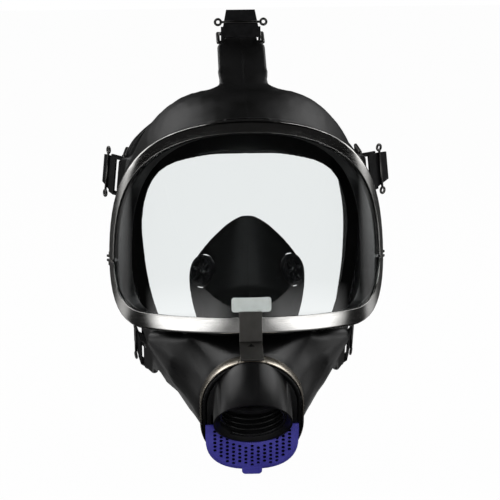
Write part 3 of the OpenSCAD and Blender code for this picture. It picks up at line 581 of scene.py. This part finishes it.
# %% [markdown]
# ## Snout, forehead and seal
# Between the steel rim and the band the real rubber sinks in like a saddle. Its points are moved towards
# the middle of the snout, most half way along it. A second melt takes the creases out there, on the forehead
# and on the face seal, and leaves the lugs of the buckles crisp. Places on the snout are measured from the
# tilted flange that the socket stands on.

# %% Sink the snout
def share_between(value, start, end):
    return max(0.0, min(1.0, (value - start) / (end - start)))


def drop_scraps(piece):
    """Joins points that lie together and drops slivers that hang on an edge between other faces."""
    form = bmesh.new()
    form.from_mesh(piece.data)
    bmesh.ops.remove_doubles(form, verts=form.verts, dist=0.005 * MM)
    bmesh.ops.dissolve_degenerate(form, edges=form.edges, dist=0.001 * MM)
    scraps = [face for face in form.faces if sum(len(edge.link_faces) != 2 for edge in face.edges) >= 2]
    bmesh.ops.delete(form, geom=scraps, context="FACES")
    form.to_mesh(piece.data)
    form.free()


flange_tilt = radians(20)
flange_centre = Vector((0, -107.5, -111.4)) * MM
flange_up = Vector((0, -sin(flange_tilt), cos(flange_tilt)))
flange_front = Vector((0, -cos(flange_tilt), -sin(flange_tilt)))


def in_flange(point):
    """Millimetres across, up and in front of the flange."""
    offset = (point - flange_centre) / MM
    return offset.x, offset.dot(flange_up), offset.dot(flange_front)


def from_flange(across, up, front):
    return flange_centre + (Vector((across, 0, 0)) + up * flange_up + front * flange_front) * MM


buckle_bars = {"top": Vector((0, 17, 109)), "temple": Vector((78, 12, 23)), "cheek": Vector((63, 13, -94))}
lugs = [Matrix.Diagonal((side, 1, 1)) @ bar for bar in buckle_bars.values() for side in (1, -1)]
saddle_depth, saddle_front, saddle_back, spine_half = 2.6, -11.0, -40.0, 5.5
bore_clear, rim_fade = 24, (-66, -76)
# where the second melt fades in or out: depth and height of the forehead, depth of the seal, distance from a lug
forehead_depth, forehead_low, tongue_low = (-78, -70), (50, 58), (92, 86)
seal_depth, lug_fade, melt_rounds = (-30, -15), (16, 24), 90
melt_group = face_moulding.vertex_groups.new(name="melt")
for vertex in face_moulding.data.vertices:
    across, up, front = in_flange(vertex.co)
    at = vertex.co / MM
    below_tongue = share_between(at.z, *tongue_low)
    forehead = share_between(at.y, *forehead_depth) * share_between(at.z, *forehead_low) * below_tongue
    from_lug = min((at - lug).length for lug in lugs)
    seal = share_between(at.y, *seal_depth) * share_between(from_lug, *lug_fade) * below_tongue
    if max(forehead, seal) > 0:
        melt_group.add([vertex.index], max(forehead, seal), "REPLACE")
        continue
    if not saddle_back < front < saddle_front or across * across + up * up < bore_clear ** 2:
        continue
    wave = sin(pi * share_between(front, saddle_front, saddle_back)) ** 2 * share_between(at.z, *rim_fade)
    spine = max(-spine_half, min(spine_half, up))
    inward = -Vector((across, 0, 0)) - (up - spine) * flange_up
    vertex.co += inward.normalized() * wave * saddle_depth * MM
    melt_group.add([vertex.index], min(1.0, 2 * wave), "REPLACE")
melt = face_moulding.modifiers.new("melt", "SMOOTH")
melt.factor, melt.iterations, melt.vertex_group = 0.5, melt_rounds, "melt"
baked(face_moulding)
face_moulding.vertex_groups.clear()
drop_scraps(face_moulding)
face_moulding.data.shade_smooth()
stand_for(face_moulding, "face_blank")
print("snout sunk by", saddle_depth, "mm")

# %% [markdown]
# ## Thread
# The socket has a round thread for the filter: a rounded ridge that winds down the bore. A Spiral curve
# with a round profile follows it exactly, so Geometry Nodes make it from four sizes.

# %% Wind the thread
def node_tree(name, floats, vectors=()):
    """An empty tree, its sizes as sockets, and the key by which a modifier sets each size."""
    tree = bpy.data.node_groups.new(name, "GeometryNodeTree")
    tree.interface.new_socket("Geometry", in_out="INPUT", socket_type="NodeSocketGeometry")
    keys = {}
    for label in (*floats, *vectors):
        kind = "NodeSocketVector" if label in vectors else "NodeSocketFloat"
        keys[label] = tree.interface.new_socket(label, in_out="INPUT", socket_type=kind).identifier
    tree.interface.new_socket("Geometry", in_out="OUTPUT", socket_type="NodeSocketGeometry")
    return tree, tree.nodes.new("NodeGroupInput").outputs, keys


def finish_tree(tree, geometry, material):
    whole = add_node(tree, "GeometryNodeRealizeInstances", {"Geometry": geometry})
    coated = add_node(tree, "GeometryNodeSetMaterial", {"Geometry": whole, "Material": material})
    add_node(tree, "NodeGroupOutput", {0: coated})


def grown(name, points, tree, values, material, turns=()):
    """The plain mesh piece that a node tree makes from points; turns are kept on the points as lie."""
    mesh = bpy.data.meshes.new(name)
    mesh.from_pydata(points, [], [])
    if turns:
        lie = mesh.attributes.new("lie", "FLOAT_VECTOR", "POINT")
        for i, turn in enumerate(turns):
            lie.data[i].vector = turn
    piece = new_piece(name, mesh, material)
    modifier = piece.modifiers.new("grow", "NODES")
    modifier.node_group = tree
    for key, value in values.items():
        modifier[key] = value
    return baked(piece)


tree, size, key = node_tree("thread_winding", ("Turns", "Radius", "Depth", "Ridge"))
winding = add_node(tree, "GeometryNodeCurveSpiral", {
    "Resolution": 56, "Rotations": size["Turns"], "Start Radius": size["Radius"],
    "End Radius": size["Radius"], "Height": size["Depth"]})
profile = add_node(tree, "GeometryNodeCurvePrimitiveCircle", {"Resolution": 12, "Radius": size["Ridge"]})
ridge = add_node(tree, "GeometryNodeCurveToMesh", {"Curve": winding, "Profile Curve": profile, "Fill Caps": True})
finish_tree(tree, ridge, thread_plastic)

thread_pitch, thread_depth, thread_start, thread_inset, thread_ridge = 3.629, 12.2, 0.6, 0.45, 1.25
thread = grown("socket_thread", [], tree, {
    key["Turns"]: thread_depth / thread_pitch, key["Radius"]: (bore_radius - thread_inset) * MM,
    key["Depth"]: thread_depth * MM, key["Ridge"]: thread_ridge * MM}, thread_plastic)
socket_frame = (Matrix.Translation(socket_base + thread_start * MM * socket_axis)
                @ socket_axis.to_track_quat("Z", "Y").to_matrix().to_4x4())
thread.data.transform(socket_frame)
thread.data.shade_smooth()
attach(thread, "mask")
print("thread faces:", len(thread.data.polygons))

# %% [markdown]
# ## Bracket
# A folded strip of satin stainless ties the rim to the band: one leg stands in front of the rim, the other
# slopes forward to the band and has a small three-cornered hole. The strip is a bent outline pushed out to
# its width, and a three-sided pin cuts the hole.

# %% Fold the bracket
def skin(name, rings, material, closed=False):
    """A closed skin over rings of points; the first and last rings are capped, or joined when closed."""
    form = bmesh.new()
    loops = [[form.verts.new(point) for point in ring] for ring in rings]
    count = len(rings[0])
    for i in range(len(loops) if closed else len(loops) - 1):
        here, there = loops[i], loops[(i + 1) % len(loops)]
        for j in range(count):
            form.faces.new((here[j], here[(j + 1) % count], there[(j + 1) % count], there[j]))
    if not closed:
        form.faces.new(loops[0])
        form.faces.new(loops[-1])
    bmesh.ops.recalc_face_normals(form, faces=form.faces)
    return from_form(name, form, material)


def combined(piece, other, operation, solver="EXACT"):
    """Adds or cuts a second closed shape, and removes that shape."""
    join = piece.modifiers.new("join", "BOOLEAN")
    join.operation, join.object, join.solver = operation, other, solver
    baked(piece)
    bpy.data.objects.remove(other)


bracket_half, bracket_thick = 7.0, 1.5
leg_front, leg_top = -99.3, -49.1
tip = Vector((-119.71, -76.1))
fold_height = tip.y + (leg_front - tip.x) * tan(flange_tilt)
lift = bracket_thick / cos(flange_tilt) - bracket_thick * tan(flange_tilt)
strip = [(leg_front, leg_top), (leg_front, fold_height), tip,
         (tip.x - bracket_thick * sin(flange_tilt), tip.y + bracket_thick * cos(flange_tilt)),
         (leg_front - bracket_thick, fold_height + lift), (leg_front - bracket_thick, leg_top)]
bracket = skin("bracket_strip", [[Vector((x, y, z)) * MM for y, z in strip] for x in (-bracket_half, bracket_half)],
               bracket_steel)
hole_corners, hole_from_fold, pin_half = [(-2.3, 0.0), (2.3, 0.0), (0.0, -4.2)], 7.0, 6
hole_at = (Vector((0, leg_front, fold_height)) + flange_front * hole_from_fold) * MM
pin_rings = [[hole_at + (Vector((x, 0, 0)) + y * flange_front + height * flange_up) * MM for x, y in hole_corners]
             for height in (-pin_half, pin_half)]
combined(bracket, skin("bracket_hole", pin_rings, bracket_steel), "DIFFERENCE")
round_edges(bracket, 0.25, 15)
shade(bracket, 35, even=True)
stand_for(bracket, "frame_bracket")
print("bracket faces:", len(bracket.data.polygons))

# %% [markdown]
# ## Spot welds
# Two small spot welds show on the band at each side of the bracket. Geometry Nodes put a bead on each marked
# point.

# %% Spot welds
tree, size, key = node_tree("weld_spots", ("Radius",))
bead = add_node(tree, "GeometryNodeMeshIcoSphere", {"Radius": size["Radius"], "Subdivisions": 2})
spots = add_node(tree, "GeometryNodeInstanceOnPoints", {"Points": size["Geometry"], "Instance": bead})
finish_tree(tree, spots, band_steel)
band_outer, weld_front, weld_radius = 31.7, -1.3, 0.7
weld_places = [from_flange(x, spine_half + sqrt(band_outer ** 2 - x * x), weld_front)
               for x in (-8.6, -5.6, 5.6, 8.6)]
welds = grown("weld_spots", weld_places, tree, {key["Radius"]: weld_radius * MM}, band_steel)
welds.data.shade_smooth()
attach(welds, "mask")
print("weld faces:", len(welds.data.polygons))

# %% [markdown]
# ## Valve cover
# The blue cover under the socket is a shallow moulded shell pierced by straight columns of small holes, set
# half a step apart. The solid has the holes that clear its inner ring. Geometry Nodes put a pin at each of
# them and at each place that is still free next to the mouth, and the pins cut all holes to one width, a
# little wider than the solid's. The face lies just behind the lip, and the finger tab under it is as wide as
# a finger tip.

# %% Pierce the cover
cover_half, cover_low, cover_drop, cover_power, cover_top = 28.5, 15.6, 22.9, 2.5, -6.5
cover_foot, cover_rise, cover_bevel, face_height = 1, 4.5, 2.5, 2.4
hole_width, hole_pitch, hole_step, hole_columns, hole_rows = 1.9, 3.8, 2.7, 7, 22
pin_width, pin_length, pin_clear = 2.15, 14, 0.05
tube_at, tube_tilt, ring_outer, cut_radius = 9.5, radians(30), 24 + 1.1, 23.3
tube_up, ring_radius = tube_at - cover_rise * tan(tube_tilt), ring_outer + hole_width / 2
margin = cover_bevel + hole_width / 2 + 0.2
cover = new_piece("valve_cover", merged_mesh("exhalation_cover"), cover_plastic)
for vertex in cover.data.vertices:
    across, up, front = in_flange(vertex.co)
    if front > cover_foot:
        lowered = (front - cover_foot) * (face_height - cover_foot) / (cover_rise - cover_foot)
        vertex.co = from_flange(across, up, cover_foot + lowered)
places = []
for column in range(-hole_columns, hole_columns + 1):
    for row in range(hole_rows):
        across = column * hole_pitch
        up = -cover_low - cover_drop + cover_bevel + (row + (0.5 if column % 2 == 0 else 0)) * hole_step
        outline = ((abs(across) / (cover_half - margin)) ** cover_power
                   + (max(0.0, -up - cover_low) / (cover_drop - margin)) ** cover_power)
        if outline >= 1 or up >= cover_top - margin:
            continue
        in_solid = hypot(across, (up - tube_up) * cos(tube_tilt)) > ring_radius
        edge = tube_up - sqrt(max(0.0, cut_radius ** 2 - across ** 2)) / cos(tube_tilt)
        if in_solid or (abs(across) < cut_radius and up + pin_width / 2 + pin_clear < edge):
            places.append(from_flange(across, up, face_height))
tree, size, key = node_tree("cover_pins", ("Width",), ("Lie",))
half_width = add_node(tree, "ShaderNodeMath", {0: size["Width"], 1: 2.0}, operation="DIVIDE")
pin = add_node(tree, "GeometryNodeMeshCylinder", {"Vertices": 16, "Radius": half_width, "Depth": pin_length * MM})
set_pins = add_node(tree, "GeometryNodeInstanceOnPoints", {
    "Points": size["Geometry"], "Instance": pin, "Rotation": size["Lie"]})
finish_tree(tree, set_pins, cover_plastic)
lie = flange_front.to_track_quat("Z", "Y").to_euler()
pins = grown("cover_pins", places, tree, {key["Width"]: pin_width * MM, key["Lie"]: tuple(lie)}, cover_plastic)
combined(cover, pins, "DIFFERENCE")
tab_half, tab_root, tab_low, tab_corner, tab_back, tab_front = 6.2, -36.5, -41.4, 2.4, 0.35, 2.3
tab_outline, tab_steps = [(-tab_half, tab_root)], 16
for i in range(tab_steps + 1):
    turn = pi + pi * i / tab_steps
    side = (2 * i > tab_steps) - (2 * i < tab_steps)
    tab_outline.append((side * (tab_half - tab_corner) + tab_corner * cos(turn),
                        tab_low + tab_corner + tab_corner * sin(turn)))
tab_outline.append((tab_half, tab_root))
tab_rings = [[from_flange(across, up, front) for across, up in tab_outline] for front in (tab_back, tab_front)]
combined(cover, skin("cover_tab", tab_rings, cover_plastic), "UNION")
shade(cover, 30)
stand_for(cover, "exhalation_cover")
print("holes in the cover:", len(places))

# %% [markdown]
# ## Dark sheet behind the holes
# Behind the holes lies a near-black sheet. It is painted shade that stands in for the shade inside the cover, and it
# is why the holes look dark.
# It is a thin plate of the cover's own outline with an open place for the socket, and its weave is a bump.

# %% Lay the dark sheet
def sheet(name, grid, material, thickness, offset):
    """A thin sheet over a grid of points; thickness in millimetres."""
    form = bmesh.new()
    lines = [[form.verts.new(point) for point in line] for line in grid]
    for here, there in zip(lines, lines[1:]):
        for j in range(len(here) - 1):
            form.faces.new((here[j], there[j], there[j + 1], here[j + 1]))
    piece = from_form(name, form, material)
    film = piece.modifiers.new("film", "SOLIDIFY")
    film.thickness, film.offset = thickness * MM, offset
    return baked(piece)


# painted shade: this near-black sheet darkens the cover's holes as the shade inside the cover would
shade_sheet_finish, tree, shader, place = new_finish("painted_shade_sheet_woven", Specular_IOR_Level=0.2, Roughness=0.7)
# a wave across and a wave up the sheet give its woven pattern; the waves are about 3 mm long
threads_across, threads_up = (
    add_node(tree, "ShaderNodeTexWave", {"Vector": place, "Scale": per_mm(10)}, bands_direction=way).outputs["Fac"]
    for way in "XZ")
weave = add_node(tree, "ShaderNodeMath", {0: threads_across, 1: threads_up}, operation="MULTIPLY")
colour = add_node(tree, "ShaderNodeMix", {"Factor": weave, 6: linear("#050505"), 7: linear("#0d0d0e")},
                  data_type="RGBA")
tree.links.new(colour.outputs[2], shader.inputs["Base Color"])
bump = add_node(tree, "ShaderNodeBump", {"Height": weave, "Strength": 0.3, "Distance": 0.1 * MM})
tree.links.new(bump.outputs["Normal"], shader.inputs["Normal"])
shade_sheet_inset, shade_sheet_front, shade_sheet_clear, shade_sheet_thick, shade_sheet_least = 2.2, 0.9, 26.8, 0.3, 0.2
shade_sheet_columns, shade_sheet_rows = 52, 8
shade_sheet_half, shade_sheet_drop = cover_half - shade_sheet_inset, cover_drop - shade_sheet_inset
grid = []
for i in range(shade_sheet_columns + 1):
    across = (2 * i / shade_sheet_columns - 1) * shade_sheet_half * 0.995
    bottom = -cover_low - shade_sheet_drop * (1 - (abs(across) / shade_sheet_half) ** cover_power) ** (1 / cover_power)
    opening = sqrt(max(0.0, shade_sheet_clear ** 2 - across ** 2)) / cos(tube_tilt)
    tube = tube_at - shade_sheet_front * tan(tube_tilt) - opening
    top = max(bottom + shade_sheet_least, min(cover_top - shade_sheet_inset, tube))
    grid.append([from_flange(across, bottom + (top - bottom) * j / shade_sheet_rows, shade_sheet_front)
                 for j in range(shade_sheet_rows + 1)])
shade_sheet = sheet("cover_shade_sheet", grid, shade_sheet_finish, shade_sheet_thick, 0.0)
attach(shade_sheet, body_of_node["exhalation_cover"])
print("gauze faces:", len(shade_sheet.data.polygons))

# %% [markdown]
# ## Blank label
# A small white film label sits on the front of the nose cup. It is a patch of small quads laid on the
# rubber: each corner is dropped on to the surface by a ray from the front, then lifted a little.

# %% Lay the label
surface = BVHTree.FromObject(nose_cup, bpy.context.evaluated_depsgraph_get())
label_centre, label_half_w, label_half_h = Vector((1.5, 0, -48.6)) * MM, 12.2 * MM, 4.6 * MM
label_corner, label_lift, label_thick = 1.8 * MM, 0.12, 0.1
label_columns, label_rows, ray_start = 64, 8, -0.2
grid = []
for i in range(label_columns + 1):
    across = (2 * i / label_columns - 1) * label_half_w
    past = max(0.0, abs(across) - label_half_w + label_corner)
    half = label_half_h - label_corner + sqrt(label_corner ** 2 - past ** 2)
    line = []
    for j in range(label_rows + 1):
        start = label_centre + Vector((across, ray_start, (2 * j / label_rows - 1) * half))
        hit, facing, _, _ = surface.ray_cast(start, Vector((0, 1, 0)))
        line.append(hit + facing * label_lift * MM)
    grid.append(line)
label = sheet("blank_label", grid, label_paper, label_thick, 1.0)
shade(label, 40)
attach(label, "mask")
print("label faces:", len(label.data.polygons))

# %% [markdown]
# ## Harness
# Five flat rubber straps run from the buckles to a plate at the back of the head, moulded in one piece.
# A strap could be a curve with a profile. Here each one is a row of cross-sections set along its path,
# because the section has to turn with the head; its edges are thicker beads, and each end is an eye round
# the wire of its buckle.

# %% Lay the straps
plate_at, head_centre, bail_length = Vector((0, 152, 54)), Vector((0, 55, 10)), 16.0
strap_starts = {  # direction of the buckle's bar, direction of the strap
    "top": (Vector((1, 0, 0)), Vector((0, 0.95, 0.31))),
    "temple": (Vector((0.1, 0.2, -1)), Vector((-0.1, 0.97, 0.2))),
    "cheek": (Vector((0, 0.65, -0.75)), Vector((0.1, 0.75, 0.65))),
}
strap_paths = {
    "top": [(0, 60, 119), (0, 92, 111), (0, 122, 90), (0, 142, 80), (0, 151, 62)],
    "temple": [(74, 52, 31), (68, 86, 37), (52, 119, 46), (26, 144, 56), (6, 152, 55)],
    "cheek": [(68, 42, -63), (75, 66, -32), (77, 92, 2), (68, 116, 32), (38, 138, 46), (16, 149, 49), (4, 152, 51)],
}
strap_sides = {"top": (1,), "temple": (1, -1), "cheek": (1, -1)}
strap_half, strap_steps, strap_first, path_step = 9.5, 10, 3, 0.02
strap_section = [(-9.5, -0.55), (-9.1, -1.0), (9.1, -1.0), (9.5, -0.55), (9.5, 0.6), (9.15, 1.0), (8.1, 1.0),
                 (7.5, 0.55), (-7.5, 0.55), (-8.1, 1.0), (-9.15, 1.0), (-9.5, 0.6)]
eye_radius, eye_bore, eye_taper, eye_reach, eye_steps = 3.0, 1.5, 0.4, 6.0, 32


def path_point(path, place):
    """A point of the smooth curve through the path; place counts its points."""
    last = len(path) - 1
    i = max(0, min(int(place), last - 1))
    before = path[i - 1] if i > 0 else 2 * path[0] - path[1]
    after = path[i + 2] if i < last - 1 else 2 * path[last] - path[last - 1]
    t, first, second = place - i, path[i], path[i + 1]
    return 0.5 * (2 * first + (second - before) * t + (2 * before - 5 * first + 4 * second - after) * t ** 2
                  + (3 * first - before - 3 * second + after) * t ** 3)


def strap_frame(path, place, bar):
    """Middle of the strap, its direction, the way across it and the way out of the head."""
    middle = path_point(path, place)
    onward = (path_point(path, place + path_step) - path_point(path, place - path_step)).normalized()
    near_plate = share_between(place, len(path) - 2.6, len(path) - 1.6)
    free = onward.cross((middle - head_centre).normalized().lerp(Vector((0, 1, 0)), near_plate)).normalized()
    across = bar.normalized().lerp(free, min(1.0, place / 2)).normalized()
    return middle, onward, across, across.cross(onward)


full_paths = {}
strap_parts = []
for kind, (bar, along) in strap_starts.items():
    across = bar.normalized()
    onward = (along - across * along.dot(across)).normalized()
    outward = across.cross(onward)
    eye_at = buckle_bars[kind] + onward * bail_length
    path = [buckle_bars[kind] + onward * (bail_length + 1), buckle_bars[kind] + onward * (bail_length + 9)]
    path += [Vector(point) for point in strap_paths[kind]]
    full_paths[kind] = path
    rings = []
    for i in range(strap_first, strap_steps * (len(path) - 1) + 1):
        middle, _, wide, out = strap_frame(path, i / strap_steps, bar)
        rings.append([middle + wide * a + out * h for a, h in strap_section])
    eye = []
    for i in range(eye_steps):
        angle = 2 * pi * i / eye_steps
        y, z = cos(angle), sin(angle)
        reach = eye_radius
        if y > 0:
            reach = max(reach, min(eye_radius / (abs(z) + eye_taper * y), eye_reach / y))
        eye.append([eye_at + across * side + (onward * y + outward * z) * radius for side, radius in (
            (-strap_half, eye_bore), (strap_half, eye_bore), (strap_half, reach), (-strap_half, reach))])
    for side in strap_sides[kind]:
        turned = Matrix.Diagonal((side, 1, 1))
        for part, part_rings in (("_strap", rings), ("_eye", eye)):
            placed = [[(turned @ point) * MM for point in ring] for ring in part_rings]
            strap_parts.append(skin(kind + part, placed, strap_rubber, closed=part == "_eye"))
print("strap parts:", len(strap_parts))

# %% [markdown]
# ## Back plate
# The straps meet in a plate with five short arms, a rolled edge and a gentle dome. Its outline is walked
# round by angle and the inner corners between the arms are eased. Straps and eyes are then joined to it.

# %% Mould the plate and join the straps
plate_arms, arm_radius, plate_points = [(-24, 2), (24, 2), (-14, -12), (14, -12), (0, 18)], 11.0, 120
plate_section = [(7, -1.5), (0.9, -1.5), (0, -0.7), (0, 0.7), (0.8, 1.5), (3.2, 1.5), (4.2, 1.2), (8, 1.2)]
dome_flat, dome_run, corner_rounds = 6, 10, 6


def plate_reach(angle):
    """Distance from the plate's middle to its outline, which runs round five round-ended arms."""
    best = 0.0
    toward = Vector((cos(angle), sin(angle)))
    for arm in map(Vector, plate_arms):
        low, high = 0.0, 60.0
        for _ in range(30):
            reach = (low + high) / 2
            point = toward * reach
            nearest = arm * max(0.0, min(1.0, point.dot(arm) / arm.length_squared))
            if (point - nearest).length < arm_radius:
                low = reach
            else:
                high = reach
        best = max(best, low)
    return best


directions = [2 * pi * i / plate_points for i in range(plate_points)]
reaches = [plate_reach(angle) for angle in directions]
for _ in range(corner_rounds):
    reaches = [(reaches[i - 1] + 2 * reaches[i] + reaches[(i + 1) % plate_points]) / 4 for i in range(plate_points)]
plate_rings = []
for inset, height in plate_section:
    ring = []
    for angle, reach in zip(directions, reaches):
        x, z = (reach - inset) * cos(angle), (reach - inset) * sin(angle)
        ring.append((plate_at + Vector((x, height - (hypot(x, dome_flat) - dome_flat) / dome_run, z))) * MM)
    plate_rings.append(ring)
harness = skin("harness_straps", plate_rings, strap_rubber)
for part in strap_parts:
    combined(harness, part, "UNION", "MANIFOLD")
drop_scraps(harness)
shade(harness, 50, even=True)
stand_for(harness, "head_harness")
print("harness faces:", len(harness.data.polygons))

# %% [markdown]
# ## Grip ridges
# The end of each strap has cross ridges that the fingers hold when it is pulled tight. They repeat along a
# path, so Geometry Nodes set a small bar on each marked point; each point carries the turn of its bar.

# %% Set the ridges
ridge_places, ridge_turns = [], []
ridge_spacing, ridge_first, ridge_last = 3.4, 10.0, 46.0
ridge_length, ridge_radius, ridge_lift, walk_steps = 13, 0.65, 0.35, 100
for kind, path in full_paths.items():
    bar = strap_starts[kind][0]
    walked, mark, previous = 0.0, ridge_first, path_point(path, 0.0)
    for i in range(1, walk_steps * (len(path) - 1)):
        middle, onward, _, out = strap_frame(path, i / walk_steps, bar)
        walked += (middle - previous).length
        previous = middle
        if walked < mark or mark > ridge_last:
            continue
        mark += ridge_spacing
        for side in strap_sides[kind]:
            turned = Matrix.Diagonal((side, 1, 1))
            ridge_places.append((turned @ (middle + out * ridge_lift)) * MM)
            axes = Matrix((turned @ onward, turned @ out, (turned @ onward).cross(turned @ out))).transposed()
            ridge_turns.append(axes.to_euler())
tree, size, key = node_tree("grip_ridges", ("Length", "Radius"))
bar = add_node(tree, "GeometryNodeMeshCylinder", {"Vertices": 10, "Radius": size["Radius"], "Depth": size["Length"]})
turn = add_node(tree, "GeometryNodeInputNamedAttribute", {"Name": "lie"}, data_type="FLOAT_VECTOR")
bars = add_node(tree, "GeometryNodeInstanceOnPoints", {
    "Points": size["Geometry"], "Instance": bar, "Rotation": turn})
finish_tree(tree, bars, strap_rubber)
ridges = grown("strap_ridges", ridge_places, tree, {
    key["Length"]: ridge_length * MM, key["Radius"]: ridge_radius * MM}, strap_rubber, ridge_turns)
shade(ridges, 50)
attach(ridges, "mask")
print("ridges:", len(ridge_places))
